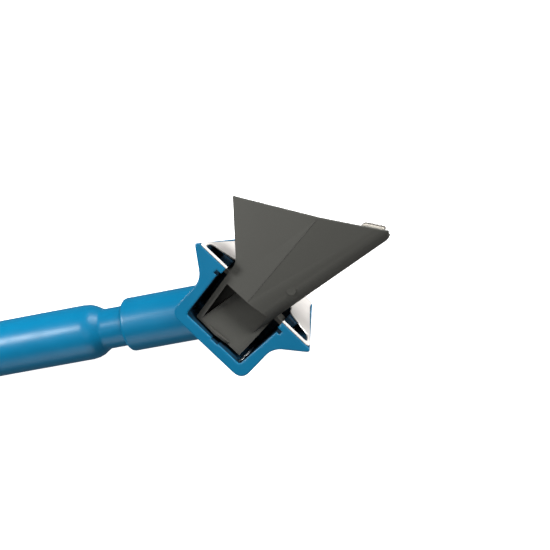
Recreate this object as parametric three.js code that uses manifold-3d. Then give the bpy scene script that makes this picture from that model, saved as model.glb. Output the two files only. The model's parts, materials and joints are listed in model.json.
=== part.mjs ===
// Paint pad edger: a moulded head with an open trough and two hollow wings, a steel sole plate,
// a round handle, and a slide-in charcoal guard that carries the paint pad on its far face.
//
// Frame, in millimetres: X runs across the sole, Y is the direction the sole faces, and Z runs from
// the closed end of the head to its open end. The tool lies on that closed end and on its grip, so
// the floor is Z = 0. The origin is the middle of the closed end, right under the handle's axis.

import * as THREE from "three";
import { mergeVertices } from "three/addons/utils/BufferGeometryUtils.js";
import Module from "manifold-3d";

const wasm = await Module();
wasm.setup();

const rad = THREE.MathUtils.degToRad;

// ---------- driving dimensions ----------
const GAP = 0.3; // clearance between neighbouring pieces
const CURVE = 8; // straight pieces in one rounded corner
const ROUND = 40; // facets round the handle
const SMALL_ROUND = 24; // facets round the bolt and its holes
const BEYOND = 1; // how far a cutting tool reaches past the surface it cuts

const HEAD_LENGTH = 56; // closed end to open end
const SOLE_HALF = 46.1; // half the width across the wing tips before they are rounded
const BODY_HALF = 27.8; // half the outer width of the trough
const BODY_HEIGHT = 42; // sole face to the bottom of the trough
const WING_HEIGHT = 15; // depth of a wing where it meets the trough
const BOTTOM_WALL = 5.9;
const END_WALL = 7; // wall that closes the trough at the rest face
const WING_SKIN = 2.6;
const WING_FRONT_WALL = 3;
const OUTER_CORNER = 7; // reach of the rounding on the trough's outer corners
const WAIST_ROUND = 6; // reach of the rounding where a wing leaves the trough's side
const TIP_ROUND = 5.5; // reach of the rounding on a wing's tip
const WING_LEFT_AT_BACK = 0.01; // share of the wing still standing out at the closed end

const GRIP_RADIUS = 16.25;
const CANT = 34.2; // degrees between the handle's axis and the sole's normal
const GROOVE_START = 73.8; // distances along the handle from the head's centre
const GRIP_START = 95;
const GRIP_END = 200;

const GUARD_FRONT = HEAD_LENGTH - 3; // height of the guard's ridge
const GUARD_SKIN = 2;
const MOUTH_ANGLE = 33.1; // degrees between the guard's free edge and the sole
const MOUTH_LEFT = -46.7; // X of the guard's sharp left corner
const MOUTH_RIGHT = 28.9; // X where the free edge ends
const MOUTH_LEFT_RISE = 30.2; // height of the left corner above the sole face

const PLATE_THICK = 0.8;

// ---------- values worked out from them ----------
const SOLE = BODY_HEIGHT / 2; // Y of the moulded sole face
const BOTTOM = -SOLE;
const PLATE_TOP = SOLE + GAP + PLATE_THICK;
const AXIS_HEIGHT = GRIP_RADIUS; // the grip's lowest line is on the floor
const MOUTH_RISE = Math.tan(rad(MOUTH_ANGLE));

const materials = {
  blue: () => new THREE.MeshStandardMaterial({ color: 0x0079b4, roughness: 0.32, metalness: 0 }),
  charcoal: () => new THREE.MeshStandardMaterial({ color: 0x4c4b47, roughness: 0.7, metalness: 0 }),
  plate: () => new THREE.MeshStandardMaterial({ color: 0xd9d4cf, roughness: 0.35, metalness: 0.9 }),
  steel: () => new THREE.MeshStandardMaterial({ color: 0x9a9b9d, roughness: 0.3, metalness: 1 }),
  brass: () => new THREE.MeshStandardMaterial({ color: 0xb58b3c, roughness: 0.35, metalness: 1 }),
  foam: () => new THREE.MeshStandardMaterial({ color: 0xa39d90, roughness: 0.9, metalness: 0 }),
  card: () => new THREE.MeshStandardMaterial({ color: 0x8a877f, roughness: 0.7, metalness: 0 }),
  nap: () => new THREE.MeshStandardMaterial({ color: 0x6b625a, roughness: 1, metalness: 0 }),
};

// ---------- shape helpers ----------

// A closed outline from corners [x, y, radius]; a radius of 0 leaves the corner sharp.
function outline(corners) {
  const shape = new THREE.Shape();
  corners.forEach(([x, y, radius], i) => {
    const corner = new THREE.Vector2(x, y);
    const before = corners[(i + corners.length - 1) % corners.length];
    const after = corners[(i + 1) % corners.length];
    const toBefore = new THREE.Vector2(before[0] - x, before[1] - y);
    const toAfter = new THREE.Vector2(after[0] - x, after[1] - y);
    const reach = Math.min(radius, 0.48 * toBefore.length(), 0.48 * toAfter.length());
    toBefore.setLength(reach);
    toAfter.setLength(reach);
    const start = corner.clone().add(toBefore);
    const end = corner.clone().add(toAfter);
    if (i === 0) shape.moveTo(start.x, start.y);
    else shape.lineTo(start.x, start.y);
    if (radius > 0) shape.quadraticCurveTo(x, y, end.x, end.y);
  });
  shape.closePath();
  return shape;
}

// The geometry as a solid that the boolean operations accept.
function solid(geometry) {
  const bare = geometry.index ? geometry.toNonIndexed() : geometry.clone();
  bare.deleteAttribute("normal");
  bare.deleteAttribute("uv");
  const merged = mergeVertices(bare, 1e-4);
  const vertProperties = new Float32Array(merged.attributes.position.array);
  const triVerts = new Uint32Array(merged.index.array);
  return new wasm.Manifold(new wasm.Mesh({ numProp: 3, vertProperties, triVerts }));
}

// A prism that stands on the outline, from z0 up to z1.
function prismGeometry(shape, z0, z1) {
  const settings = { depth: z1 - z0, bevelEnabled: false, curveSegments: CURVE };
  return new THREE.ExtrudeGeometry(shape, settings).translate(0, 0, z0);
}

function prism(shape, z0, z1) {
  return solid(prismGeometry(shape, z0, z1));
}

// A prism whose outline is drawn in X and Z and which runs from y0 to y1.
function sidePrism(shape, y0, y1) {
  return solid(prismGeometry(shape, -y1, -y0).rotateX(Math.PI / 2));
}

function box(x0, x1, y0, y1, z0, z1) {
  const geometry = new THREE.BoxGeometry(x1 - x0, y1 - y0, z1 - z0);
  return solid(geometry.translate((x0 + x1) / 2, (y0 + y1) / 2, (z0 + z1) / 2));
}

// A turned piece: pairs [radius, distance], revolved round +Y.
function turned(profile, facets = ROUND) {
  const points = profile.map(([radius, distance]) => new THREE.Vector2(radius, distance));
  return new THREE.LatheGeometry(points, facets);
}

// A turned piece on the handle's axis, its distances measured from the head's centre.
function onHandle(geometry) {
  return solid(geometry.rotateZ(Math.PI - rad(CANT)).translate(0, 0, AXIS_HEIGHT));
}

// A plain cylinder's profile for turned().
function rod(radius, start, end) {
  return [[0, start], [radius, start], [radius, end], [0, end]];
}

function hexPrism(acrossFlats, start, end) {
  return turned(rod(acrossFlats / Math.sqrt(3), start, end), 6);
}

const group = new THREE.Group();
group.name = "paint_pad_edger";

function addPiece(name, made, material) {
  const mesh = made.getMesh();
  const geometry = new THREE.BufferGeometry();
  geometry.setAttribute("position", new THREE.BufferAttribute(mesh.vertProperties, 3));
  geometry.setIndex(new THREE.BufferAttribute(mesh.triVerts, 1));
  geometry.computeVertexNormals();
  const piece = new THREE.Mesh(geometry, material);
  piece.name = name;
  group.add(piece);
}

// ---------- head shell ----------

// The wings shrink towards the closed end, while the trough keeps its width.
function shrinkWings(geometry) {
  const position = geometry.attributes.position;
  for (let i = 0; i < position.count; i += 1) {
    const x = position.getX(i);
    const share = WING_LEFT_AT_BACK + (1 - WING_LEFT_AT_BACK) * (position.getZ(i) / HEAD_LENGTH);
    const over = Math.max(Math.abs(x) - BODY_HALF, 0);
    position.setX(i, Math.sign(x) * (Math.abs(x) - over + over * share));
  }
  return geometry;
}

// The outside of the head: trough and wings in one outline, grown by the offset.
function headOutside(offset) {
  const waist = SOLE - WING_HEIGHT - offset;
  const side = BODY_HALF + offset;
  const right = [
    [side, BOTTOM - offset, OUTER_CORNER],
    [side, waist, WAIST_ROUND],
    [SOLE_HALF + offset, SOLE + offset, TIP_ROUND],
  ];
  const left = right.map(([x, y, radius]) => [-x, y, radius]).reverse();
  const start = offset > 0 ? -offset : 0;
  return solid(shrinkWings(prismGeometry(outline([...right, ...left]), start, HEAD_LENGTH + offset)));
}

const LIP_HALF = 21.8; // half the gap between the two lips at the trough's mouth
const GROOVE_HALF = 25.2; // half the distance between the bottoms of the guide grooves
const GROOVE_TOP = SOLE - 3.8;
const GROOVE_BOTTOM = SOLE - 6.6;
const TROUGH_FLOOR = BOTTOM + BOTTOM_WALL;
const TROUGH_TOP_HALF = 23; // half the inner width just under the grooves
const TROUGH_FLOOR_HALF = 20.6;
const GROOVE_END = 34.7; // Z of the grooves' blind ends

// The trough's hollow: slightly wider at its mouth, with two lips there. The guide grooves under
// the lips are blind, and their ends are the stops that the guard's rails rest on.
function troughHollow() {
  const right = [
    [TROUGH_FLOOR_HALF, TROUGH_FLOOR, 2],
    [TROUGH_TOP_HALF, GROOVE_BOTTOM, 0.6],
    [LIP_HALF, GROOVE_TOP, 0.8],
    [LIP_HALF, SOLE + BEYOND, 0],
  ];
  const left = right.map(([x, y, radius]) => [-x, y, radius]).reverse();
  const front = HEAD_LENGTH + BEYOND;
  const hollow = prism(outline([...right, ...left]), END_WALL, front);
  const grooves = box(-GROOVE_HALF, GROOVE_HALF, GROOVE_BOTTOM, GROOVE_TOP, GROOVE_END, front);
  return hollow.add(grooves);
}

const HOLLOW_ROOT = BODY_HALF + 0.6; // X where a wing's hollow starts, beside the trough's wall
const HOLLOW_END = SOLE_HALF - 7; // X where it ends, behind the wing's tip

// The hollow under the sole inside one wing, closed towards the open end of the head.
function wingHollow(side) {
  const corners = [
    [HOLLOW_ROOT, SOLE + BEYOND, 0],
    [HOLLOW_ROOT, SOLE - WING_HEIGHT + 2 * WING_SKIN, 1.5],
    [HOLLOW_END - 0.5, SOLE - 1, 1],
    [HOLLOW_END, SOLE + BEYOND, 0],
  ];
  const shape = outline(side > 0 ? corners : corners.map(([x, y, r]) => [-x, y, r]).reverse());
  return solid(shrinkWings(prismGeometry(shape, END_WALL + 3, HEAD_LENGTH - WING_FRONT_WALL)));
}

const LIP_GAP_START = 42; // Z where the lips stop short of the front walls
const LIP_GAP_DEPTH = 9;

// The gaps in the trough's walls just behind the front walls, which join each wing to the trough.
function lipGaps() {
  const reach = HOLLOW_ROOT + 0.9;
  const front = HEAD_LENGTH - WING_FRONT_WALL;
  return box(-reach, reach, SOLE - LIP_GAP_DEPTH, SOLE + BEYOND, LIP_GAP_START, front);
}

const BOLT_RADIUS = 4;
const BOLT_SEAT = 12; // where the bolt's washer bears, measured along the handle
const BOLT_BOSS_RADIUS = 9;
const BOLT_BOSS_LENGTH = 12;
const SEAT_CUT_START = 2; // where the space for the bolt's head starts

const PLATE_SCREW_X = 13;
const PLATE_SCREW_Z = END_WALL / 2 + 0.5;
const PLATE_SCREW_LENGTH = 11;

// A shallow key slot in the trough's floor, open at the front.
const KEY_SLOT_X = 1.5;
const KEY_SLOT_WIDTH = 5;
const KEY_SLOT_DEPTH = 0.8;
const KEY_SLOT_LENGTH = 20;

function keySlot() {
  const half = KEY_SLOT_WIDTH / 2;
  return box(KEY_SLOT_X - half, KEY_SLOT_X + half, TROUGH_FLOOR - KEY_SLOT_DEPTH,
    TROUGH_FLOOR + BEYOND, HEAD_LENGTH - KEY_SLOT_LENGTH, HEAD_LENGTH + BEYOND);
}

function headShell() {
  const boltBoss = onHandle(turned(rod(BOLT_BOSS_RADIUS, BOLT_SEAT, BOLT_SEAT + BOLT_BOSS_LENGTH)));
  const boltHole = onHandle(turned(rod(BOLT_RADIUS + GAP, BOLT_SEAT - BEYOND, GRIP_START), SMALL_ROUND));
  const seatCut = onHandle(turned(rod(BOLT_BOSS_RADIUS - 0.5, SEAT_CUT_START, BOLT_SEAT)));
  const outside = headOutside(0);
  let shell = outside.subtract(troughHollow());
  shell = shell.subtract(wingHollow(1)).subtract(wingHollow(-1)).subtract(lipGaps());
  shell = shell.subtract(keySlot());
  shell = shell.add(boltBoss.intersect(outside)).subtract(boltHole).subtract(seatCut);
  shell = shell.subtract(springFootSlot());
  for (const side of [-1, 1]) shell = shell.subtract(plateScrew(side, GAP));
  return shell;
}

// ---------- sole plate and its screws ----------

const STRIP_DEPTH = 2.2; // width of the strips over the wings' front walls
const STRIP_INNER = 21.6; // where the strips end at the trough's mouth
const SLOT_END = 39; // X of the slots' outer ends
const SLOT_END_WIDTH = 9.5;
const SLOT_BACK = 37; // Z of the slots' back edge where it meets the mouth's opening
const OPENING_HALF = 20.5; // the opening over the trough's mouth
const OPENING_START = 29;
const PLATE_MARGIN = 3.9; // how far the plate's front corners stay inside the sharp wing tips

// The cut-out: an opening over the trough's mouth, with a round-ended slot over each wing.
function plateCutout() {
  const strip = HEAD_LENGTH - STRIP_DEPTH;
  const right = [
    [OPENING_HALF, OPENING_START, 5],
    [OPENING_HALF, SLOT_BACK, 4],
    [SLOT_END - 1.5, strip - SLOT_END_WIDTH, 4],
    [SLOT_END, strip, 2.5],
    [STRIP_INNER, strip, 0],
    [STRIP_INNER, HEAD_LENGTH + BEYOND, 0],
  ];
  const left = right.map(([x, z, radius]) => [-x, z, radius]).reverse();
  return outline([...right, ...left]);
}

const PLATE_START = 0.6; // Z of the plate's back edge
const PLATE_FLARE = 8; // Z where its sides start to follow the wings

function solePlate() {
  const back = BODY_HALF - 0.4;
  const front = SOLE_HALF - PLATE_MARGIN;
  const corners = [
    [-back, PLATE_START, 4],
    [back, PLATE_START, 4],
    [back, PLATE_FLARE, 3],
    [front, HEAD_LENGTH, 3.5],
    [-front, HEAD_LENGTH, 3.5],
    [-back, PLATE_FLARE, 3],
  ];
  let plate = sidePrism(outline(corners), SOLE + GAP, PLATE_TOP);
  plate = plate.subtract(sidePrism(plateCutout(), SOLE, PLATE_TOP + BEYOND));
  for (const side of [-1, 1]) plate = plate.subtract(plateScrew(side, GAP));
  return plate;
}

const PLATE_SCREW_SHANK = 1.4; // radii
const PLATE_SCREW_HEAD = 2.9;
const PLATE_SCREW_CONE = 1.6; // height of the countersunk head's cone
const DRIVE_WIDTH = 0.55; // the cross drive in the head
const DRIVE_HALF = 1.6;
const DRIVE_DEPTH = 0.9;

// A countersunk screw through the plate into the end wall; grown by the offset it is its own hole.
function plateScrew(side, offset) {
  const top = PLATE_TOP - 0.1;
  const tip = top - PLATE_SCREW_LENGTH - offset;
  const rim = top + (offset > 0 ? BEYOND : 0);
  const profile = [
    [0, tip],
    [PLATE_SCREW_SHANK + offset, tip],
    [PLATE_SCREW_SHANK + offset, top - 0.2 - PLATE_SCREW_CONE],
    [PLATE_SCREW_HEAD + offset, top - 0.2],
    [PLATE_SCREW_HEAD + offset, rim],
    [0, rim],
  ];
  const screw = solid(turned(profile, 20).translate(side * PLATE_SCREW_X, 0, PLATE_SCREW_Z));
  if (offset > 0) return screw;
  const half = DRIVE_WIDTH / 2;
  const slotAlong = box(-DRIVE_HALF, DRIVE_HALF, top - DRIVE_DEPTH, top + BEYOND, -half, half);
  const slotAcross = box(-half, half, top - DRIVE_DEPTH, top + BEYOND, -DRIVE_HALF, DRIVE_HALF);
  return screw.subtract(slotAlong.add(slotAcross).translate([side * PLATE_SCREW_X, 0, PLATE_SCREW_Z]));
}

// ---------- handle ----------

const SOCKET_RADIUS = 15.7;
const SOCKET_START = 10; // inside the head, before the barrel is cut to fit its corner
const NECK_RADIUS = 11.85; // also the floor of the ring groove
const NECK_START = 50; // bottom of the bore that takes the grip's neck
const GROOVE_SLOPE_START = 87.2; // where the groove's floor starts to rise to the grip
const NUT_SEAT = 58;
const NUT_BORE = 8; // radius of the bore that the nut goes down
const WASHER_THICK = 1.2;
const BOLT_HEAD_HEIGHT = 5;
const BOLT_LENGTH = 58;
const BOLT_HEAD_FLATS = 13;
const NUT_HEIGHT = 6.5;
const PIN_OFFSET = 8; // how far the anti-twist pin stands from the axis
const PIN_RADIUS = 1.5;
const PIN_HALF = 4; // half its length
const INSERT_RADIUS = 12.2;
const INSERT_LENGTH = 26;
const POLE_RADIUS = 9.6;
const THREAD_PITCH = 5;
const THREAD_DEPTH = 1.1;
const CREST_HALF = 0.4; // half the width of a thread's crest and of its root
const ROOT_HALF = 1.2;
const PLUG_FLANGE = 2.5;
const PLUG_STEM = 20;

// The barrel between the head and the ring groove; its inner end fits the head's corner.
function handleSocket() {
  const profile = [
    [0, SOCKET_START],
    [SOCKET_RADIUS, SOCKET_START],
    [SOCKET_RADIUS, GROOVE_START - 2.4],
    [SOCKET_RADIUS - 0.35, GROOVE_START - 1],
    [SOCKET_RADIUS - 1.4, GROOVE_START],
    [NECK_RADIUS + GAP, GROOVE_START],
    [NECK_RADIUS + GAP, NECK_START],
    [0, NECK_START],
  ];
  const barrel = onHandle(turned(profile));
  const boltHole = onHandle(turned(rod(BOLT_RADIUS + GAP, 0, NECK_START + BEYOND), SMALL_ROUND));
  return barrel.subtract(boltHole).subtract(headOutside(GAP)).subtract(antiTwistPin(GAP));
}

// The grip: a thin neck inside the socket, the sloping side of the ring groove, then the long
// barrel, hollow from the butt end.
function gripBody() {
  const slope = [
    [NECK_RADIUS, GROOVE_SLOPE_START],
    [NECK_RADIUS + 1.1, GROOVE_SLOPE_START + 2],
    [NECK_RADIUS + 3, GROOVE_SLOPE_START + 5.2],
    [GRIP_RADIUS - 0.5, GRIP_START],
    [GRIP_RADIUS, GRIP_START + 4],
  ];
  const butt = [
    [GRIP_RADIUS, GRIP_END - 5],
    [GRIP_RADIUS - 0.7, GRIP_END - 2],
    [GRIP_RADIUS - 2.2, GRIP_END],
  ];
  const bore = [
    [INSERT_RADIUS + GAP, GRIP_END],
    [INSERT_RADIUS + GAP, GRIP_END - INSERT_LENGTH - GAP],
    [POLE_RADIUS + 1, GRIP_END - INSERT_LENGTH - GAP],
    [POLE_RADIUS + 1, GRIP_START + 5],
    [NUT_BORE, GRIP_START],
    [NUT_BORE, NUT_SEAT],
    [BOLT_RADIUS + GAP, NUT_SEAT],
    [BOLT_RADIUS + GAP, NECK_START + GAP],
  ];
  const neck = [
    [BOLT_RADIUS + GAP, NECK_START + GAP],
    [NECK_RADIUS, NECK_START + GAP],
  ];
  return onHandle(turned([...neck, ...slope, ...butt, ...bore])).subtract(antiTwistPin(GAP));
}

const BOLT_HEAD_TOP = BOLT_SEAT - WASHER_THICK - 2 * GAP;

function handleBolt() {
  const start = BOLT_HEAD_TOP - BOLT_HEAD_HEIGHT;
  const head = hexPrism(BOLT_HEAD_FLATS, start, BOLT_HEAD_TOP);
  const shank = turned(rod(BOLT_RADIUS, start + 1, start + 1 + BOLT_LENGTH), SMALL_ROUND);
  return onHandle(head).add(onHandle(shank));
}

function boltWasher() {
  const inner = BOLT_RADIUS + GAP;
  const outer = BOLT_BOSS_RADIUS - 1;
  const top = BOLT_SEAT - GAP;
  const profile = [
    [inner, top - WASHER_THICK],
    [outer, top - WASHER_THICK],
    [outer, top],
    [inner, top],
    [inner, top - WASHER_THICK],
  ];
  return onHandle(turned(profile, SMALL_ROUND));
}

function boltNut() {
  const start = NUT_SEAT + GAP;
  const through = rod(BOLT_RADIUS + GAP, start - BEYOND, start + NUT_HEIGHT + BEYOND);
  const hole = onHandle(turned(through, SMALL_ROUND));
  return onHandle(hexPrism(BOLT_HEAD_FLATS, start, start + NUT_HEIGHT)).subtract(hole);
}

// The pin that keeps the grip from turning in the socket, parallel to the handle's axis.
function antiTwistPin(offset) {
  const radius = PIN_RADIUS + offset;
  const middle = NECK_START + GAP / 2;
  const pin = turned(rod(radius, middle - PIN_HALF - offset, middle + PIN_HALF + offset), 16);
  return onHandle(pin.translate(0, 0, PIN_OFFSET));
}

// The threaded bush for an extension pole, its thread as rings one pitch apart.
function poleInsert() {
  const start = GRIP_END - INSERT_LENGTH;
  const end = GRIP_END - PLUG_FLANGE;
  const profile = [[INSERT_RADIUS, start], [INSERT_RADIUS, end], [POLE_RADIUS, end]];
  for (let crest = end - THREAD_PITCH / 2; crest > start + 1; crest -= THREAD_PITCH) {
    profile.push([POLE_RADIUS, crest + ROOT_HALF], [POLE_RADIUS - THREAD_DEPTH, crest + CREST_HALF]);
    profile.push([POLE_RADIUS - THREAD_DEPTH, crest - CREST_HALF], [POLE_RADIUS, crest - ROOT_HALF]);
  }
  profile.push([POLE_RADIUS, start], [INSERT_RADIUS, start]);
  return onHandle(turned(profile, 28));
}

// The plug that closes the pole socket when no pole is fitted.
function buttPlug() {
  const seat = GRIP_END - PLUG_FLANGE + GAP;
  const stem = POLE_RADIUS - THREAD_DEPTH - GAP;
  const profile = [
    [0, seat - PLUG_STEM],
    [stem - 1, seat - PLUG_STEM],
    [stem, seat - PLUG_STEM + 1.5],
    [stem, seat],
    [INSERT_RADIUS, seat],
    [INSERT_RADIUS, GRIP_END - 0.4],
    [INSERT_RADIUS - 1.2, GRIP_END + 0.8],
    [INSERT_RADIUS - 4, GRIP_END + 1.4],
    [0, GRIP_END + 1.6],
  ];
  return onHandle(turned(profile));
}

// ---------- retaining spring ----------

const SPRING_THICK = 0.45;
const SPRING_WIDTH = 10;
const SPRING_TOP = HEAD_LENGTH - 4;
const SPRING_FOOT_X = TROUGH_FLOOR_HALF - 1.7;

// The spring's centre line in X and Y: a foot in the floor, then a small wave up the side wall.
function springLine() {
  const middle = TROUGH_FLOOR_HALF - 0.8;
  const wave = [-0.25, 0.2, -0.3, 0.4, 0];
  const points = [new THREE.Vector3(SPRING_FOOT_X, TROUGH_FLOOR - 2.4, 0)];
  wave.forEach((sway, i) => {
    points.push(new THREE.Vector3(middle + sway, TROUGH_FLOOR + 1.8 * (i + 0.6), 0));
  });
  return new THREE.CatmullRomCurve3(points);
}

// A bent strip, drawn as the outline on both sides of its centre line.
function retainingSpring() {
  const points = springLine().getPoints(26);
  const sides = [[], []];
  points.forEach((point, i) => {
    const next = points[Math.min(i + 1, points.length - 1)];
    const last = points[Math.max(i - 1, 0)];
    const along = next.clone().sub(last).normalize();
    const across = new THREE.Vector3(-along.y, along.x, 0).multiplyScalar(SPRING_THICK / 2);
    sides[0].push([point.x + across.x, point.y + across.y, 0]);
    sides[1].push([point.x - across.x, point.y - across.y, 0]);
  });
  return prism(outline([...sides[1], ...sides[0].reverse()]), SPRING_TOP - SPRING_WIDTH, SPRING_TOP);
}

// The slot in the trough's floor that holds the spring's foot.
function springFootSlot() {
  return box(SPRING_FOOT_X - 0.8, SPRING_FOOT_X + 1.4, TROUGH_FLOOR - 2.8, TROUGH_FLOOR + 1.2,
    SPRING_TOP - SPRING_WIDTH - GAP, SPRING_TOP + GAP);
}

// ---------- guard: the slide-in charcoal shell ----------

const NECK_RIGHT = 17.6;
const NECK_BOTTOM = TROUGH_FLOOR + 1;
const NECK_TILT = 1.4; // how much higher the right end of the neck's bottom edge is
const FLARE_FOOT = new THREE.Vector2(-20, SOLE + 4.5); // where the left side starts to flare
const NECK_LEFT_LEAN = 6.3; // degrees the neck's left side leans outwards
const NECK_BACK = 34; // Z of the back of the guard's neck
const FAN_BACK = 42.5; // Z of the back of the guard's fan
const CREASE_FOOT = new THREE.Vector2(-0.3, SOLE - 4.4);
const CREASE_LEAN = 3.3; // degrees the crease leans to the left of +Y
const LEFT_SLOPE = 10; // degrees the surface falls away on each side of the crease
const RIGHT_SLOPE = 1.8;
const RIGHT_EDGE_LEAN = 10.8; // degrees the right edge leans to the right of +Y
const RIGHT_EDGE_FOOT = new THREE.Vector2(18.9, SOLE + 4);
const CORNER_RISE = 74.8; // height above the sole face of the corner where the right edge ends
const CORNER_REACH = 5; // reach of the rounding there
const SIDE_ROUND = 8.5; // radius of the rounded right side

// Y of the free edge at an X, moved towards the sole by the inset.
function mouthY(x, inset = 0) {
  const straight = SOLE + MOUTH_LEFT_RISE + (x - MOUTH_LEFT) * MOUTH_RISE;
  return straight - inset / Math.cos(rad(MOUTH_ANGLE));
}

// X of the right edge at a Y, moved inwards by the inset.
function rightEdgeX(y, inset = 0) {
  const lean = Math.tan(rad(RIGHT_EDGE_LEAN));
  return RIGHT_EDGE_FOOT.x + (y - RIGHT_EDGE_FOOT.y) * lean - inset / Math.cos(rad(RIGHT_EDGE_LEAN));
}

// X of the neck's left side at a Y, moved inwards by the inset.
function leftEdgeX(y, inset = 0) {
  return FLARE_FOOT.x + (FLARE_FOOT.y - y) * Math.tan(rad(NECK_LEFT_LEAN)) + inset;
}

// The fan's outline: free edge on top, flared left side, nearly straight right side with a
// rounded end.
function fanOutline(inset, mouthInset = 0) {
  const back = inset + mouthInset;
  const left = MOUTH_LEFT + 2.4 * back;
  const right = MOUTH_RIGHT - inset;
  const cornerY = SOLE + CORNER_RISE - 1.2 * back;
  const flareY = FLARE_FOOT.y + inset * 1.2;
  return outline([
    [leftEdgeX(SOLE - 12, inset), SOLE - 12, 0],
    [rightEdgeX(SOLE - 12, inset), SOLE - 12, 0],
    [rightEdgeX(SOLE + 4, inset), SOLE + 4, 3],
    [rightEdgeX(cornerY, inset), cornerY, CORNER_REACH],
    [right, mouthY(right, back), 0.8],
    [left, mouthY(left, back), inset > 0 ? 0.5 : 0],
    [leftEdgeX(flareY, inset), flareY, 3],
  ]);
}

function neckOutline(inset) {
  return outline([
    [leftEdgeX(NECK_BOTTOM, inset), NECK_BOTTOM + inset, 0.8],
    [NECK_RIGHT + 0.9 - inset, NECK_BOTTOM + NECK_TILT + inset, 0.8],
    [NECK_RIGHT - inset, SOLE - 12, 4],
    [rightEdgeX(SOLE + 3.4, inset + 0.4), SOLE + 3.4, 0.5],
    [leftEdgeX(SOLE + 3.4, inset), SOLE + 3.4, 0.5],
  ]);
}

// A prism along a line in the XY plane that leans from +Y: its outline is drawn across the line,
// [distance to the right of it, Z].
function leaningPrism(corners, foot, leanRight) {
  const reach = 130;
  const geometry = prismGeometry(outline(corners), -reach, reach).rotateX(Math.PI / 2);
  return solid(geometry.rotateZ(-rad(leanRight)).translate(foot.x, foot.y, 0));
}

// Everything under the guard's two slopes, lowered by the offset.
function underRoof(offset) {
  const ridge = GUARD_FRONT - offset;
  const reach = 120;
  const corners = [
    [-reach, 0, 0],
    [reach, 0, 0],
    [reach, ridge - reach * Math.tan(rad(RIGHT_SLOPE)), 0],
    [0, ridge, 0],
    [-reach, ridge - reach * Math.tan(rad(LEFT_SLOPE)), 0],
  ];
  return leaningPrism(corners, CREASE_FOOT, -CREASE_LEAN);
}

// Everything inside the rounded right side, shrunk by the offset.
function insideRightSide(offset) {
  const reach = 120;
  const radius = SIDE_ROUND - offset;
  const top = GUARD_FRONT - 1.2 - offset;
  const corners = [[-reach, 0, 0], [-offset, 0, 0]];
  for (let i = 0; i <= CURVE + 1; i += 1) {
    const angle = (i / (CURVE + 1)) * (Math.PI / 2);
    corners.push([-offset - radius + radius * Math.cos(angle), top - radius + radius * Math.sin(angle), 0]);
  }
  corners.push([-reach, top + reach * 0.2, 0]);
  return leaningPrism(corners, RIGHT_EDGE_FOOT, RIGHT_EDGE_LEAN);
}

// The pocket's corners in X and Y: its top and foot both rise to the right.
const WINDOW = {
  topLeft: [leftEdgeX(SOLE - 8, 3), SOLE - 8],
  topRight: [NECK_RIGHT - 4, SOLE - 5.6],
  footRight: [NECK_RIGHT - 3, NECK_BOTTOM + NECK_TILT + 1.4],
  footLeft: [leftEdgeX(NECK_BOTTOM, 3), NECK_BOTTOM + 1.4],
};

// The finger pocket in the neck's front.
function pocketWindow() {
  const corners = [WINDOW.footLeft, WINDOW.footRight, WINDOW.topRight, WINDOW.topLeft];
  const shape = outline(corners.map(([x, y]) => [x, y, 0.3]));
  return prism(shape, NECK_BACK + GUARD_SKIN, GUARD_FRONT + 1);
}

// The sloping floor of the pocket: level with the front at its foot, deep under the window's top.
function pocketRamp() {
  const foot = WINDOW.footLeft[1] - 0.4;
  const head = WINDOW.topRight[1] + 3;
  const slope = outline([
    [foot, NECK_BACK + 1, 0],
    [head, NECK_BACK + 1, 0],
    [head, NECK_BACK + 4, 0],
    [foot, GUARD_FRONT - 2.6, 0],
  ]);
  const left = leftEdgeX(SOLE);
  const across = prismGeometry(slope, left, NECK_RIGHT).rotateX(Math.PI / 2).rotateZ(Math.PI / 2);
  const plan = outline([
    [WINDOW.footLeft[0] - 0.4, foot, 0],
    [WINDOW.footRight[0] + 2.4, foot, 0],
    [WINDOW.footRight[0] + 2.4, head, 0],
    [WINDOW.topLeft[0] + 9, head, 0],
  ]);
  return solid(across).intersect(prism(plan, NECK_BACK, GUARD_FRONT));
}

// The raised mould line along the crease.
function mouldLine() {
  const corners = [[-0.3, GUARD_FRONT - 1, 0], [0.3, GUARD_FRONT - 1, 0], [0, GUARD_FRONT + 0.16, 0]];
  const length = prism(outline([
    [-5, SOLE - 6, 0],
    [5, SOLE - 6, 0],
    [5, mouthY(5, 0.6), 0],
    [-12, mouthY(-12, 0.6), 0],
  ]), FAN_BACK, 60);
  return leaningPrism(corners, CREASE_FOOT, -CREASE_LEAN).intersect(length);
}

const RAIL_LENGTH = 9;

// The rails that run in the trough's guide grooves.
function guideRail(side) {
  const inner = side > 0 ? NECK_RIGHT - 1 : leftEdgeX(GROOVE_BOTTOM, 1);
  const outer = side * (GROOVE_HALF - GAP);
  return box(Math.min(inner, outer), Math.max(inner, outer),
    GROOVE_BOTTOM + GAP, GROOVE_TOP - GAP, GROOVE_END + GAP, GROOVE_END + GAP + RAIL_LENGTH);
}

function guardShell() {
  const roof = underRoof(0).intersect(insideRightSide(0));
  const innerRoof = underRoof(GUARD_SKIN).intersect(insideRightSide(GUARD_SKIN));
  const body = prism(fanOutline(0), FAN_BACK, 60).add(prism(neckOutline(0), NECK_BACK, 60));
  const hollow = prism(fanOutline(GUARD_SKIN), FAN_BACK - 1, 60)
    .add(prism(neckOutline(GUARD_SKIN), NECK_BACK + GUARD_SKIN, 60));
  let shell = body.intersect(roof).subtract(hollow.intersect(innerRoof));
  shell = shell.subtract(mouthOpening());
  shell = shell.subtract(pocketWindow()).add(pocketRamp()).add(mouldLine());
  for (const side of [-1, 1]) shell = shell.add(guideRail(side));
  for (const place of GUARD_SCREWS) shell = shell.add(screwPost(place));
  return shell;
}

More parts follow.
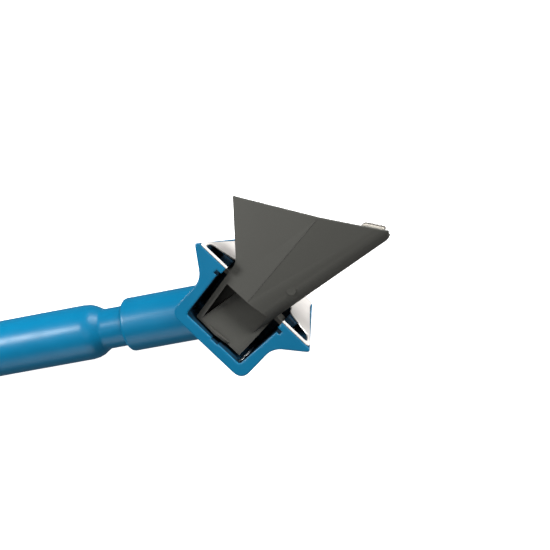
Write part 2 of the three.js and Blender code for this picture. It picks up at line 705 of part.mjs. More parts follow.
// Takes away the wall the hollow would leave under the free edge, so the edge is one thin lip.
function mouthOpening() {
  const reach = 8;
  const left = MOUTH_LEFT - 2;
  const right = MOUTH_RIGHT + 6;
  const strip = outline([
    [left, mouthY(left, reach), 0],
    [right, mouthY(right, reach), 0],
    [right, mouthY(right, -reach), 0],
    [left, mouthY(left, -reach), 0],
  ]);
  const under = underRoof(GUARD_SKIN).intersect(insideRightSide(GUARD_SKIN));
  return prism(strip, FAN_BACK - 1, 60).intersect(under);
}

// ---------- guard back plate, its screws, and the pad ----------

const BACK_THICK = 1.8;
const GUARD_SCREWS = [[-12, SOLE + 22], [13, SOLE + 16], [14, SOLE + 50]];
const GUARD_SCREW_LENGTH = 4.6;
const SCREW_POST = 2.6;
const PAD_MOUTH_INSET = 9.5;
const TAB_INSET = 1.3; // how far the tab's end stays behind the free edge
const TAB_WIDTH = 12.8;
const TAB_FROM_CORNER = 1.4;
const PAD_LEFT_INSET = 20; // how far the pad stays from the fan's sharp left corner
const BACKING_THICK = 1.2;
const FOAM_THICK = 3;
const NAP_THICK = 5.4;

// The post inside the guard that a screw bites into.
function screwPost([x, y]) {
  const z0 = FAN_BACK + BACK_THICK + GAP;
  const post = new THREE.CylinderGeometry(SCREW_POST, SCREW_POST, 20, 16).rotateX(Math.PI / 2);
  const bite = GUARD_SCREW_LENGTH - BACK_THICK + 1;
  const hole = new THREE.CylinderGeometry(1.2 + GAP, 1.2 + GAP, 2 * bite, 12).rotateX(Math.PI / 2);
  const standing = solid(post.translate(x, y, z0 + 10)).intersect(underRoof(0.5));
  return standing.subtract(solid(hole.translate(x, y, z0)));
}

function guardBack() {
  let plate = prism(fanOutline(GUARD_SKIN + GAP, 3), FAN_BACK, FAN_BACK + BACK_THICK);
  plate = plate.subtract(box(-40, 40, SOLE - 20, SOLE + 4.4, FAN_BACK - 1, FAN_BACK + 10));
  for (const place of GUARD_SCREWS) plate = plate.subtract(guardScrew(place, GAP));
  return plate;
}

// A countersunk screw from behind, its head level with the plate.
function guardScrew([x, y], offset) {
  const face = FAN_BACK + 0.1;
  const profile = [
    [0, face - (offset > 0 ? 1 : 0)],
    [2.2 + offset, face - (offset > 0 ? 1 : 0)],
    [2.2 + offset, face + 0.2],
    [1.2 + offset, face + 1.3],
    [1.2 + offset, face + GUARD_SCREW_LENGTH],
    [0, face + GUARD_SCREW_LENGTH],
  ];
  return solid(turned(profile, 16).rotateX(Math.PI / 2).translate(x, y, 0));
}

// The pad's outline: inside the guard, away from the free edge, with a tab at the right corner.
function padOutline(inset) {
  const foot = SOLE + 7 + inset;
  const tabLeft = MOUTH_RIGHT - TAB_WIDTH + inset;
  const tabRight = MOUTH_RIGHT - TAB_FROM_CORNER - inset;
  const left = MOUTH_LEFT + PAD_LEFT_INSET + inset;
  return outline([
    [FLARE_FOOT.x + 1, foot, 2],
    [rightEdgeX(foot, 2 + inset), foot, 2],
    [tabRight + 1.2, mouthY(tabRight, 6), 2],
    [tabRight - 0.6, mouthY(tabRight - 0.6, inset + TAB_INSET), 1.6],
    [tabLeft, mouthY(tabLeft, inset + TAB_INSET), 1.6],
    [tabLeft, mouthY(tabLeft, PAD_MOUTH_INSET), 1],
    [left, mouthY(left, PAD_MOUTH_INSET + inset), 3],
    [left - 3, mouthY(left, PAD_MOUTH_INSET) - 5, 3],
  ]);
}

function padBacking() {
  const top = FAN_BACK - GAP;
  return prism(padOutline(0.6), top - BACKING_THICK, top);
}

function padFoam() {
  const top = FAN_BACK - 2 * GAP - BACKING_THICK;
  return prism(padOutline(0.2), top - FOAM_THICK, top);
}

function padNap() {
  const top = FAN_BACK - 3 * GAP - BACKING_THICK - FOAM_THICK;
  return prism(padOutline(0), top - NAP_THICK, top);
}

// ---------- the assembly ----------

addPiece("head_shell", headShell(), materials.blue());
addPiece("sole_plate", solePlate(), materials.plate());
addPiece("plate_screw_left", plateScrew(-1, 0), materials.steel());
addPiece("plate_screw_right", plateScrew(1, 0), materials.steel());
addPiece("retaining_spring", retainingSpring(), materials.steel());
addPiece("handle_socket", handleSocket(), materials.blue());
addPiece("grip_body", gripBody(), materials.blue());
addPiece("handle_bolt", handleBolt(), materials.steel());
addPiece("bolt_washer", boltWasher(), materials.steel());
addPiece("bolt_nut", boltNut(), materials.steel());
addPiece("anti_twist_pin", antiTwistPin(0), materials.steel());
addPiece("pole_insert", poleInsert(), materials.brass());
addPiece("butt_plug", buttPlug(), materials.charcoal());
addPiece("guard_shell", guardShell(), materials.charcoal());
addPiece("guard_back", guardBack(), materials.charcoal());
GUARD_SCREWS.forEach((place, i) => {
  addPiece(`guard_screw_${i + 1}`, guardScrew(place, 0), materials.steel());
});
addPiece("pad_backing", padBacking(), materials.card());
addPiece("pad_foam", padFoam(), materials.foam());
addPiece("pad_nap", padNap(), materials.nap());

export default group;
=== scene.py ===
"""Paint pad edger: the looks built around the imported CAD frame.

X runs across the sole, Y is the way the sole faces, Z runs from the head's closed end to its open
end. The tool lies on its closed end and on its grip. All lengths are metres.
"""

import json
import math
import random

import bpy
from mathutils import Matrix, Vector, noise
from mathutils.bvhtree import BVHTree


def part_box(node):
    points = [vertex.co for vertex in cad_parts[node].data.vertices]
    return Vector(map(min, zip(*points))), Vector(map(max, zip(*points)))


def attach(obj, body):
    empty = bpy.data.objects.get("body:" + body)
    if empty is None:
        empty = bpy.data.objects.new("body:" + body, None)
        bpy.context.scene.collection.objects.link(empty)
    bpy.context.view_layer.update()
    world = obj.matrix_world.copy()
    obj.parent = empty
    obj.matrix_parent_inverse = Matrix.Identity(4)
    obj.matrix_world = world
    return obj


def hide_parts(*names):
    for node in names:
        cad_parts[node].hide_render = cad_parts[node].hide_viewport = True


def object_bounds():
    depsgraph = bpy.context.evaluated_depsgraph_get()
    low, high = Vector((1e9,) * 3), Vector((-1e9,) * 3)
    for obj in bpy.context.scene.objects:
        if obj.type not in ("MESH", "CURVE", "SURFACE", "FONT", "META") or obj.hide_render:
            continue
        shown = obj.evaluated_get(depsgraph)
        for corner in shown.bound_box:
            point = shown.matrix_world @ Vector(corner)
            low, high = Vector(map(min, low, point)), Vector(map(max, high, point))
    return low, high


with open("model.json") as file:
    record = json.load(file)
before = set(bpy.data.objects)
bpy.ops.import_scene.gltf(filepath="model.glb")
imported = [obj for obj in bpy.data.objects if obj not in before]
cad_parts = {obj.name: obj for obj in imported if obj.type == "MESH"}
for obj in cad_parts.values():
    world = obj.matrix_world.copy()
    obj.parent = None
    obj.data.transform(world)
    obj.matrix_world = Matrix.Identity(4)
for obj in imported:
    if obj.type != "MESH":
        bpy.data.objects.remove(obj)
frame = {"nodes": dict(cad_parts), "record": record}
cad_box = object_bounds()
nodes = frame["nodes"]

# ---------- places taken from the frame ----------
head_lo, head_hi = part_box("head_shell")
nap_lo, nap_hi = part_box("pad_nap")
SOLE = head_hi.y
OPEN_END = head_hi.z
TOOL_LENGTH = cad_box[1].y - cad_box[0].y

# ---------- node helpers ----------


class Nodes:
    """A material's node tree with short calls for making and linking nodes."""

    def __init__(self, name):
        self.material = bpy.data.materials.new(name)
        self.material.use_nodes = True
        self.tree = self.material.node_tree
        self.shader = self.tree.nodes["Principled BSDF"]

    def add(self, kind, **inputs):
        node = self.tree.nodes.new(kind)
        for key, value in inputs.items():
            node.inputs[key.replace("_", " ")].default_value = value
        return node

    def link(self, output, target):
        self.tree.links.new(output, target)

    def coordinates(self, scale):
        """Object coordinates, in metres, stretched by a scale of three numbers."""
        place = self.add("ShaderNodeTexCoord")
        mapping = self.add("ShaderNodeMapping", Scale=scale)
        self.link(place.outputs["Object"], mapping.inputs["Vector"])
        return mapping.outputs["Vector"]

    def noise(self, scale, detail=4.0, stretch=(1, 1, 1), roughness=0.55):
        node = self.add("ShaderNodeTexNoise", Scale=scale, Detail=detail, Roughness=roughness)
        self.link(self.coordinates(stretch), node.inputs["Vector"])
        return node.outputs["Fac"]

    def voronoi(self, scale, feature="F1"):
        node = self.add("ShaderNodeTexVoronoi", Scale=scale)
        node.feature = feature
        self.link(self.coordinates((1, 1, 1)), node.inputs["Vector"])
        return node.outputs["Distance"]

    def ramp(self, value, stops):
        """A colour ramp: stops are (position, colour)."""
        node = self.add("ShaderNodeValToRGB")
        elements = node.color_ramp.elements
        for element, (position, colour) in zip(elements, (stops[0], stops[-1])):
            element.position = position
            element.color = (*colour, 1)
        for position, colour in stops[1:-1]:
            elements.new(position).color = (*colour, 1)
        self.link(value, node.inputs["Fac"])
        return node.outputs["Color"]

    def spread(self, value, low, high, from_low=0.0, from_high=1.0):
        node = self.add("ShaderNodeMapRange")
        node.inputs["From Min"].default_value = from_low
        node.inputs["From Max"].default_value = from_high
        node.inputs["To Min"].default_value = low
        node.inputs["To Max"].default_value = high
        self.link(value, node.inputs["Value"])
        return node.outputs["Result"]

    def mix(self, factor, first, second, blend="MIX"):
        node = self.add("ShaderNodeMix")
        node.data_type = "RGBA"
        node.blend_type = blend
        for value, target in ((factor, 0), (first, 6), (second, 7)):
            if isinstance(value, (tuple, float)):
                node.inputs[target].default_value = value
            else:
                self.link(value, node.inputs[target])
        return node.outputs[2]

    def math(self, operation, first, second=0.0):
        node = self.add("ShaderNodeMath")
        node.operation = operation
        for value, target in ((first, 0), (second, 1)):
            if isinstance(value, float):
                node.inputs[target].default_value = value
            else:
                self.link(value, node.inputs[target])
        return node.outputs[0]

    def bump(self, height, distance, strength=1.0, under=None):
        node = self.add("ShaderNodeBump", Strength=strength, Distance=distance)
        self.link(height, node.inputs["Height"])
        if under is not None:
            self.link(under, node.inputs["Normal"])
        return node.outputs["Normal"]

    def rounded(self, reach):
        """The surface's normal, turned smoothly over any edge within a reach."""
        node = self.add("ShaderNodeBevel", Radius=reach)
        node.samples = 6
        return node.outputs["Normal"]

    def edges(self, reach):
        """0 on open faces, rising to 1 within a reach of an edge."""
        softened = self.add("ShaderNodeBevel", Radius=reach)
        softened.samples = 4
        geometry = self.add("ShaderNodeNewGeometry")
        agreement = self.add("ShaderNodeVectorMath")
        agreement.operation = "DOT_PRODUCT"
        self.link(softened.outputs["Normal"], agreement.inputs[0])
        self.link(geometry.outputs["Normal"], agreement.inputs[1])
        return self.spread(agreement.outputs["Value"], 1.0, 0.0, 0.8, 0.995)

    def place(self):
        """Object coordinates, split into X, Y and Z outputs."""
        coordinates = self.add("ShaderNodeTexCoord")
        split = self.add("ShaderNodeSeparateXYZ")
        self.link(coordinates.outputs["Object"], split.inputs[0])
        return split.outputs

    def between(self, value, low, high):
        """1 where the value lies between two numbers."""
        above = self.math("GREATER_THAN", value, low)
        return self.math("MULTIPLY", above, self.math("LESS_THAN", value, high))

    def finish(self, colour=None, roughness=None, normal=None):
        for value, name in ((colour, "Base Color"), (roughness, "Roughness"), (normal, "Normal")):
            if value is not None:
                self.link(value, self.shader.inputs[name])
        return self.material


# ---------- materials ----------


def blue_plastic(name, rounding, inside=None):
    """Glossy dyed plastic: slow colour drift, faint flow marks, fine scuffs, worn pale edges.

    The shading turns over edges within the rounding's radius. inside is a function that marks the
    surfaces given painted shade, near black and rougher, for the shade inside the head.
    """
    m = Nodes(name)
    drift = m.noise(38, detail=3)
    flow = m.noise(120, detail=2, stretch=(1, 1, 0.15))
    base = m.ramp(drift, [(0.3, (0.0, 0.108, 0.216)), (0.7, (0.0, 0.124, 0.244))])
    scuffs = m.noise(900, detail=6, stretch=(1, 0.2, 1), roughness=0.7)
    worn = m.math("MULTIPLY", m.edges(0.0004), m.spread(scuffs, 0.3, 1.0, 0.35, 0.7))
    colour = m.mix(worn, base, (0.04, 0.24, 0.43, 1))
    scuffed = m.spread(scuffs, 0.0, 0.08, 0.5, 0.8)
    gloss = m.math("ADD", m.spread(flow, 0.28, 0.36, 0.3, 0.7), scuffed)
    if inside is not None:
        # Painted shade: where inside marks, the colour goes near black and the surface rougher, standing in
        # for the shade that falls inside the trough and the wings' hollows; the noise varies its strength a
        # little.
        shade_strength = m.spread(m.noise(300, detail=5), 0.82, 1.0, 0.35, 0.65)
        painted_shade = m.math("MULTIPLY", inside(m), shade_strength)
        colour = m.mix(painted_shade, colour, (0.0015, 0.009, 0.02, 1))
        gloss = m.math("ADD", gloss, m.math("MULTIPLY", painted_shade, 0.25))
    grain = m.noise(5200, detail=2)
    normal = m.bump(grain, 0.000012, 0.5, m.bump(flow, 0.0001, 0.2, m.rounded(rounding)))
    m.shader.inputs["IOR"].default_value = 1.45
    m.shader.inputs["Specular IOR Level"].default_value = 0.3
    return m.finish(colour, gloss, normal)


TROUGH_HALF = 0.0245  # half the width that the painted shade covers inside the trough
BODY_HALF = head_hi.x * 0.636  # half the trough's outer width
WING_HEIGHT = 0.015  # depth of a wing where it meets the trough
SKIN = 0.001  # the painted shade stops this far inside the outer face
SHADE_FLOOR = head_lo.y + 0.005  # just under the trough's floor, which the painted shade covers too
SHADE_BACK = 0.004  # inside the wall of the closed end
SHADE_FRONT = OPEN_END - 0.0011  # just under the open rim


def head_shade_mask(m):
    """Marks the trough's inner faces and the wings' hollows, from just under the open rim, for painted
    shade.
    """
    x, y, z = m.place()
    off_centre = m.math("ABSOLUTE", x)
    beside_centre = m.math("LESS_THAN", off_centre, TROUGH_HALF)
    in_trough = m.math("MULTIPLY", beside_centre, m.between(y, SHADE_FLOOR, SOLE))
    wing = m.spread(z, 0.0, head_hi.x - BODY_HALF, 0.0, OPEN_END)
    share = m.spread(y, 0.0, 1.0, SOLE - WING_HEIGHT, SOLE)
    outside = m.math("ADD", m.math("MULTIPLY", wing, share), BODY_HALF - SKIN)
    under_plate = m.between(y, SOLE - WING_HEIGHT + SKIN / 2, SOLE + SKIN / 5)
    in_hollow = m.math("MULTIPLY", m.math("LESS_THAN", off_centre, outside), under_plate)
    return m.math("MULTIPLY", m.math("MAXIMUM", in_trough, in_hollow), m.between(z, SHADE_BACK, SHADE_FRONT))


def blue_moulding():
    return blue_plastic("blue_moulding", 0.0005)


# The head's blue, with painted shade inside its trough and the wings' hollows.
def head_moulding():
    return blue_plastic("head_moulding", 0.0016, head_shade_mask)


def charcoal_moulding():
    """Matte glass-filled plastic: fine spark-eroded grain and slightly paler rubbed edges."""
    m = Nodes("charcoal_moulding")
    cloud = m.noise(24, detail=2)
    base = m.ramp(cloud, [(0.3, (0.044, 0.0435, 0.038)), (0.7, (0.048, 0.0475, 0.0415))])
    speck = m.noise(4200, detail=3, roughness=0.7)
    specked = m.mix(m.spread(speck, 0.0, 0.15, 0.45, 0.75), base, (0.08, 0.08, 0.072, 1))
    rub = m.noise(1800, detail=4)
    worn = m.math("MULTIPLY", m.edges(0.0003), m.spread(rub, 0.1, 0.7, 0.4, 0.7))
    colour = m.mix(worn, specked, (0.1, 0.1, 0.09, 1))
    roughness = m.spread(rub, 0.64, 0.69, 0.3, 0.7)
    normal = m.bump(speck, 0.00001, 0.4)
    m.shader.inputs["Specular IOR Level"].default_value = 0.3
    return m.finish(colour, roughness, normal)


def sole_steel():
    """Satin stainless sheet: fine brushing across the sole, soft cloudy stains, duller edges."""
    m = Nodes("sole_steel")
    brush = m.noise(700, detail=5, stretch=(0.05, 1, 2.6), roughness=0.7)
    cloud = m.noise(60, detail=4)
    base = m.ramp(cloud, [(0.3, (0.66, 0.63, 0.6)), (0.7, (0.74, 0.71, 0.68))])
    lined = m.mix(m.spread(brush, 0.0, 0.3, 0.45, 0.65), base, (0.56, 0.535, 0.51, 1))
    colour = m.mix(m.edges(0.0002), lined, (0.6, 0.56, 0.53, 1))
    roughness = m.math("ADD", m.spread(brush, 0.3, 0.42, 0.35, 0.65), m.spread(cloud, 0.0, 0.08))
    m.shader.inputs["Metallic"].default_value = 0.35
    return m.finish(colour, roughness, m.bump(brush, 0.00002, 0.5))


def zinc_steel():
    """Zinc-plated fasteners and spring: cool grey with small crystalline patches."""
    m = Nodes("zinc_steel")
    spangle = m.voronoi(900)
    base = m.ramp(spangle, [(0.0, (0.42, 0.43, 0.44)), (0.8, (0.62, 0.62, 0.61))])
    streak = m.noise(1500, detail=4, stretch=(1, 0.2, 1))
    m.shader.inputs["Metallic"].default_value = 1.0
    return m.finish(base, m.spread(streak, 0.22, 0.4, 0.3, 0.7), m.bump(streak, 0.00001, 0.5))


def turned_brass():
    """Brass: fine grain and brown tarnish in patches."""
    m = Nodes("turned_brass")
    patch = m.noise(160, detail=5)
    base = m.ramp(patch, [(0.35, (0.5, 0.3, 0.09)), (0.7, (0.72, 0.5, 0.18))])
    grain = m.noise(2600, detail=2)
    m.shader.inputs["Metallic"].default_value = 1.0
    return m.finish(base, m.spread(patch, 0.42, 0.26), m.bump(grain, 0.00001, 0.4))


def backing_card():
    """Stiff grey-beige plastic sheet with a matt, slightly fibrous face."""
    m = Nodes("backing_card")
    fibre = m.noise(1100, detail=5, stretch=(1, 0.3, 1))
    base = m.ramp(fibre, [(0.3, (0.2, 0.19, 0.17)), (0.7, (0.27, 0.26, 0.235))])
    return m.finish(base, m.spread(fibre, 0.6, 0.75), m.bump(fibre, 0.00003, 0.5))


def open_cell_foam():
    """Grey-beige polyurethane foam: open cells of two sizes in a pale web, darkened with painted shade."""
    m = Nodes("open_cell_foam")
    cells = m.voronoi(2400, "DISTANCE_TO_EDGE")
    pores = m.voronoi(1100)
    # Painted shade: the cells go darker than the web between them, and a second, coarser cell pattern
    # darkens the colour further in places.
    base = m.ramp(cells, [(0.0, (0.4, 0.375, 0.33)), (0.35, (0.27, 0.25, 0.215))])
    shade = m.mix(m.spread(pores, 0.0, 0.35, 0.1, 0.5), base, (0.16, 0.145, 0.12, 1))
    m.shader.inputs["Sheen Weight"].default_value = 0.15
    return m.finish(shade, m.spread(cells, 0.85, 0.95), m.bump(cells, 0.0002, 0.7))


def short_nap():
    """Taupe-grey cut pile: pale at the middle of each tuft and darker towards the gaps between tufts as
    painted shade, fibre flecks, faint direction of lay.
    """
    m = Nodes("short_nap")
    tufts = m.voronoi(1500)
    fibres = m.noise(5200, detail=4, stretch=(1, 1, 0.25), roughness=0.75)
    lay = m.noise(90, detail=3, stretch=(1, 0.3, 1))
    # Painted shade: each cell is pale at its middle and darker towards its edge, for the gaps between
    # tufts.
    base = m.ramp(tufts, [(0.05, (0.17, 0.152, 0.132)), (0.75, (0.085, 0.074, 0.063))])
    fleck = m.mix(m.spread(fibres, 0.0, 0.5, 0.45, 0.75), base, (0.26, 0.235, 0.205, 1))
    colour = m.mix(m.spread(lay, 0.0, 0.35, 0.4, 0.6), fleck, (0.15, 0.134, 0.116, 1))
    m.shader.inputs["Sheen Weight"].default_value = 0.25
    m.shader.inputs["Sheen Roughness"].default_value = 0.5
    return m.finish(colour, m.spread(fibres, 0.88, 1.0), m.bump(fibres, 0.0003, 0.8))


MATERIALS = {
    "blue_moulding": blue_moulding(),
    "head_moulding": head_moulding(),
    "charcoal_moulding": charcoal_moulding(),
    "sole_steel": sole_steel(),
    "steel": zinc_steel(),
    "brass": turned_brass(),
    "backing_card": backing_card(),
    "pad_foam": open_cell_foam(),
    "pad_nap": short_nap(),
}

# ---------- CAD nodes: materials, smooth shading and rounded edges ----------

EDGE_ANGLE = math.radians(32)  # edges sharper than this are rounded
OTHER_ROUND = 0.00015  # the pieces that aren't named below
WELD_DISTANCE = 0.000005
FLAT_ANGLE = math.radians(0.6)  # facets that differ by less are one flat face
NORMAL_WEIGHT = 60  # how far large faces pull the shading of their edges

# The rounding asked for. It is limited by the tightest spot of each mesh, which leaves almost none
# of it on head_shell and guard_shell.
EDGE_ROUND = {
    "head_shell": 0.0016,
    "guard_shell": 0.0003,
    "sole_plate": 0.00025,
    "handle_socket": 0.0003,
    "grip_body": 0.0003,
    "butt_plug": 0.0003,
}


def dress(name, slot):
    """Gives a CAD node its material, merges its coplanar facets, and rounds its edges where it can."""
    node = nodes[name]
    node.data.materials.clear()
    node.data.materials.append(MATERIALS[slot])
    for polygon in node.data.polygons:
        polygon.use_smooth = True
    weld = node.modifiers.new("weld", "WELD")
    weld.merge_threshold = WELD_DISTANCE
    planar = node.modifiers.new("planar", "DECIMATE")
    planar.decimate_type = "DISSOLVE"
    planar.angle_limit = FLAT_ANGLE
    planar.delimit = {"NORMAL"}
    rounding = node.modifiers.new("rounding", "BEVEL")
    rounding.width = EDGE_ROUND.get(name, OTHER_ROUND)
    rounding.segments = 2
    rounding.limit_method = "ANGLE"
    rounding.angle_limit = EDGE_ANGLE
    rounding.use_clamp_overlap = True
    normals = node.modifiers.new("normals", "WEIGHTED_NORMAL")
    normals.keep_sharp = False
    normals.weight = NORMAL_WEIGHT


for entry in frame["record"]["subparts"]:
    is_head = entry["node"] == "head_shell"
    dress(entry["node"], "head_moulding" if is_head else entry["material_slot"])

# ---------- the pad's foam and nap ----------

FOAM_STEP = 0.0005  # size of the foam's facets
PORE = 0.0011  # width of one open cell
PORE_DEPTH = 0.00022
PORE_REACH = 0.6  # share of a cell that its pit covers
WAVE = 9 * PORE  # length of the slow waves in the foam's skin
WAVE_SHARE = 0.4  # their height, as a share of a pore's depth
NAP_CLOTH = 0.0009  # thickness of the woven sheet that the tufts stand in
TUFT_PITCH = 0.00135
TUFT_SIDES = 5
TUFT_MARGIN = 0.0005  # least distance from the cloth's edge
TUFT_SHIFT = 0.0002  # how far a tuft may stand off its place
TUFT_SHORTER = 0.0005  # how much shorter than the longest a tuft may be
TUFT_LEAN = 0.0005  # sideways, either way
TUFT_LAY = (-0.0009, 0.0001)  # the nap lies over towards the head
TUFT_ROOT = 0.6  # share of the cloth's thickness that the tufts start at
ROW_SHARE = 0.87  # distance between rows, as a share of the pitch
BELOW_NAP = 0.01
TUFT_SEED = 7
TUFT_RINGS = [(0.0, 0.00056), (0.45, 0.00062), (0.8, 0.00042)]  # share of its length, radius


def copy_of(name, copy_name):
    """A free copy of a CAD node, in the row frame."""
    mesh = nodes[name].data.copy()
    mesh.transform(nodes[name].matrix_world)
    mesh.materials.clear()
    piece = bpy.data.objects.new(copy_name, mesh)
    bpy.context.collection.objects.link(piece)
    return piece


def remesh(piece, step):
    """Gives the piece even facets of one size."""
    voxels = piece.modifiers.new("voxels", "REMESH")
    voxels.mode = "VOXEL"
    voxels.voxel_size = step
    evaluated = piece.evaluated_get(bpy.context.evaluated_depsgraph_get())
    mesh = bpy.data.meshes.new_from_object(evaluated)
    piece.modifiers.clear()
    piece.data = mesh


def put_on_pad(piece, slot):
    """The piece gets its material, smooth shading, and the pad's body."""
    piece.data.materials.clear()
    piece.data.materials.append(MATERIALS[slot])
    for polygon in piece.data.polygons:
        polygon.use_smooth = True
    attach(piece, "pad")


def foam_layer():
    """The foam sheet: die-cut edges and a skin of open cells."""
    foam = copy_of("pad_foam", "foam_layer")
    remesh(foam, FOAM_STEP)
    moves = []
    for vertex in foam.data.vertices:
        nearest = noise.voronoi(vertex.co / PORE)[0][0]
        pit = max(0.0, 1 - nearest / PORE_REACH)
        wave = noise.noise(vertex.co / WAVE)
        moves.append(vertex.normal * (WAVE_SHARE * PORE_DEPTH * (wave - 1) - PORE_DEPTH * pit))
    for vertex, move in zip(foam.data.vertices, moves):
        vertex.co += move
    put_on_pad(foam, "pad_foam")
    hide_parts("pad_foam")


def nap_cloth():
    """The woven sheet that carries the tufts."""
    cloth = copy_of("pad_nap", "nap_cloth")
    thickness = nap_hi.z - nap_lo.z
    for vertex in cloth.data.vertices:
        down = (nap_hi.z - vertex.co.z) / thickness
        vertex.co.z = nap_hi.z - NAP_CLOTH * down
    put_on_pad(cloth, "pad_nap")


def tuft_places(tree, rng):
    """Places inside the nap's outline, in offset rows, each moved a little."""
    low = nap_lo.z - BELOW_NAP
    up = Vector((0, 0, 1))
    rows = int((nap_hi.y - nap_lo.y) / (TUFT_PITCH * ROW_SHARE)) + 1
    columns = int((nap_hi.x - nap_lo.x) / TUFT_PITCH) + 1
    for row in range(rows):
        for column in range(columns):
            x_shift = rng.uniform(-TUFT_SHIFT, TUFT_SHIFT)
            y_shift = rng.uniform(-TUFT_SHIFT, TUFT_SHIFT)
            x = nap_lo.x + (column + 0.5 * (row % 2)) * TUFT_PITCH + x_shift
            y = nap_lo.y + row * TUFT_PITCH * ROW_SHARE + y_shift
            around = [(x + dx * TUFT_MARGIN, y + dy * TUFT_MARGIN)
                      for dx, dy in ((1, 0), (-1, 0), (0, 1), (0, -1))]
            if all(tree.ray_cast(Vector((px, py, low)), up)[0] for px, py in around):
                yield Vector((x, y, 0))


def add_tuft(place, rng, points, faces):
    """One bent, blunt tuft that hangs from the cloth."""
    top = nap_hi.z - NAP_CLOTH * TUFT_ROOT
    length = top - nap_lo.z - rng.uniform(0, TUFT_SHORTER)
    lean = Vector((rng.uniform(-TUFT_LEAN, TUFT_LEAN), rng.uniform(*TUFT_LAY), 0))
    start = len(points)
    turn = rng.uniform(0, math.tau)
    for share, radius in TUFT_RINGS:
        middle = place + lean * share * share
        for side in range(TUFT_SIDES):
            angle = turn + math.tau * side / TUFT_SIDES
            rim = Vector((math.cos(angle), math.sin(angle), 0)) * radius
            points.append((*(middle + rim).xy, top - length * share))
    points.append((*(place + lean).xy, top - length))
    tip = len(points) - 1
    rings = len(TUFT_RINGS)
    for side in range(TUFT_SIDES):
        following = (side + 1) % TUFT_SIDES
        for ring in range(rings - 1):
            near, far = start + ring * TUFT_SIDES, start + (ring + 1) * TUFT_SIDES
            faces.append((near + side, far + side, far + following, near + following))
        last = start + (rings - 1) * TUFT_SIDES
        faces.append((last + side, tip, last + following))
    faces.append(tuple(start + side for side in range(TUFT_SIDES)))


def nap_pile():
    """All the tufts of the nap, as one piece."""
    rng = random.Random(TUFT_SEED)
    outline = copy_of("pad_nap", "nap_outline")
    mesh = outline.data
    tree = BVHTree.FromPolygons([v.co for v in mesh.vertices], [p.vertices for p in mesh.polygons])
    bpy.data.objects.remove(outline)
    points, faces = [], []
    for place in tuft_places(tree, rng):
        add_tuft(place, rng, points, faces)
    pile_mesh = bpy.data.meshes.new("nap_pile")
    pile_mesh.from_pydata(points, [], faces)
    pile = bpy.data.objects.new("nap_pile", pile_mesh)
    bpy.context.collection.objects.link(pile)
    put_on_pad(pile, "pad_nap")
    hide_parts("pad_nap")


foam_layer()
nap_cloth()
nap_pile()

# ---------- stage, lights and camera ----------

CAMERA_TILT = math.radians(20)  # the camera leans this far from straight above, towards the sole
CAMERA_ROLL = math.radians(43.5)  # how far the sole's width runs down to the right
FIELD = TOOL_LENGTH * 1.114  # width of the view at the head's open end
LENS = 150
SENSOR = 36
AIM_PAST_SOLE = TOOL_LENGTH * 0.0645  # the middle of the view lies this far in front of the sole
AIM_ASIDE = 0.0005
FLOOR_HALF = TOOL_LENGTH * 30
FLOOR_GAP = 0.0002
ROOM_LOW = 0.15  # brightness of the room just under the horizon
ROOM_HIGH = 0.2  # and overhead

# name, direction from the head, distance, size, power in watts
LIGHTS = [
    ("key", (-0.79, -0.32, 0.52), 0.44, 0.12, 2.0),
    ("fill", (-0.25, -0.05, 1), 0.45, 0.3, 0.3),
    ("sole_light", (0.25, 1, 0.12), 0.9, 0.5, 14),
    ("low_side_light", (-0.6, 1, 0.15), 0.7, 0.4, 8),
    ("back_light", (0.6, -0.8, 0.5), 0.9, 0.6, 2.4),
]


def make_floor():
    """A plain white sheet that glows evenly, so that shadows on it stay faint."""
    mesh = bpy.data.meshes.new("floor")
    corners = [(x * FLOOR_HALF, y * FLOOR_HALF, 0) for x, y in ((-1, -1), (1, -1), (1, 1), (-1, 1))]
    mesh.from_pydata(corners, [], [(0, 1, 2, 3)])
    floor = bpy.data.objects.new("floor", mesh)
    bpy.context.collection.objects.link(floor)
    floor.location.z = cad_box[0].z - FLOOR_GAP
    m = Nodes("floor_paper")
    soft = m.noise(3, detail=2)
    colour = m.ramp(soft, [(0.3, (0.93, 0.93, 0.93)), (0.7, (0.95, 0.95, 0.95))])
    m.shader.inputs["Emission Color"].default_value = (1, 1, 1, 1)
    m.shader.inputs["Emission Strength"].default_value = 0.85
    mesh.materials.append(m.finish(colour, m.spread(soft, 0.85, 0.95)))
    floor.visible_diffuse = False
    floor.visible_glossy = False


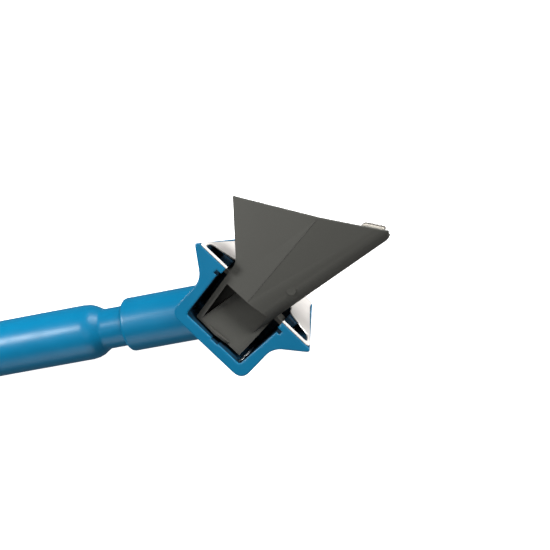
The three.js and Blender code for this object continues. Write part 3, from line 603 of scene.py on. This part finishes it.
def add_area(name, direction, distance, size, power):
    """A soft square light that shines on the head from a direction."""
    light = bpy.data.lights.new(name, "AREA")
    light.shape = "SQUARE"
    light.size = size
    light.energy = power
    lamp = bpy.data.objects.new(name, light)
    bpy.context.collection.objects.link(lamp)
    away = Vector(direction).normalized()
    lamp.location = Vector((0, SOLE, OPEN_END)) + away * distance
    lamp.rotation_mode = "QUATERNION"
    lamp.rotation_quaternion = (-away).to_track_quat("-Z", "Y")


def make_world():
    """A white room, brighter overhead than near the floor."""
    world = bpy.data.worlds.new("studio")
    bpy.context.scene.world = world
    world.use_nodes = True
    tree = world.node_tree
    place = tree.nodes.new("ShaderNodeTexCoord")
    split = tree.nodes.new("ShaderNodeSeparateXYZ")
    tree.links.new(place.outputs["Generated"], split.inputs[0])
    height = tree.nodes.new("ShaderNodeMapRange")
    for name, value in (("From Min", -0.1), ("From Max", 0.9), ("To Min", ROOM_LOW), ("To Max", ROOM_HIGH)):
        height.inputs[name].default_value = value
    tree.links.new(split.outputs["Z"], height.inputs["Value"])
    background = tree.nodes["Background"]
    background.inputs["Color"].default_value = (1, 1, 1, 1)
    tree.links.new(height.outputs["Result"], background.inputs["Strength"])


def view_axes():
    """The camera's right, up and back directions."""
    across = Vector((1, 0, 0))
    normal = Vector((0, math.cos(CAMERA_TILT), -math.sin(CAMERA_TILT)))
    back = Vector((0, math.sin(CAMERA_TILT), math.cos(CAMERA_TILT)))
    right = across * math.cos(CAMERA_ROLL) + normal * math.sin(CAMERA_ROLL)
    up = normal * math.cos(CAMERA_ROLL) - across * math.sin(CAMERA_ROLL)
    return right, up, back


def make_camera():
    data = bpy.data.cameras.new("camera")
    data.lens = LENS
    data.sensor_width = SENSOR
    camera = bpy.data.objects.new("camera", data)
    bpy.context.collection.objects.link(camera)
    right, up, back = view_axes()
    target = Vector((AIM_ASIDE, SOLE + AIM_PAST_SOLE, OPEN_END))
    distance = FIELD * LENS / SENSOR
    rotation = Matrix((right, up, back)).transposed().to_4x4()
    camera.matrix_world = Matrix.Translation(target + back * distance) @ rotation
    data.clip_start = 0.01
    data.clip_end = 20
    bpy.context.scene.camera = camera


make_floor()
make_world()
make_camera()
for name, direction, distance, size, power in LIGHTS:
    add_area(name, direction, distance, size, power)
bpy.context.scene.view_settings.view_transform = "Standard"
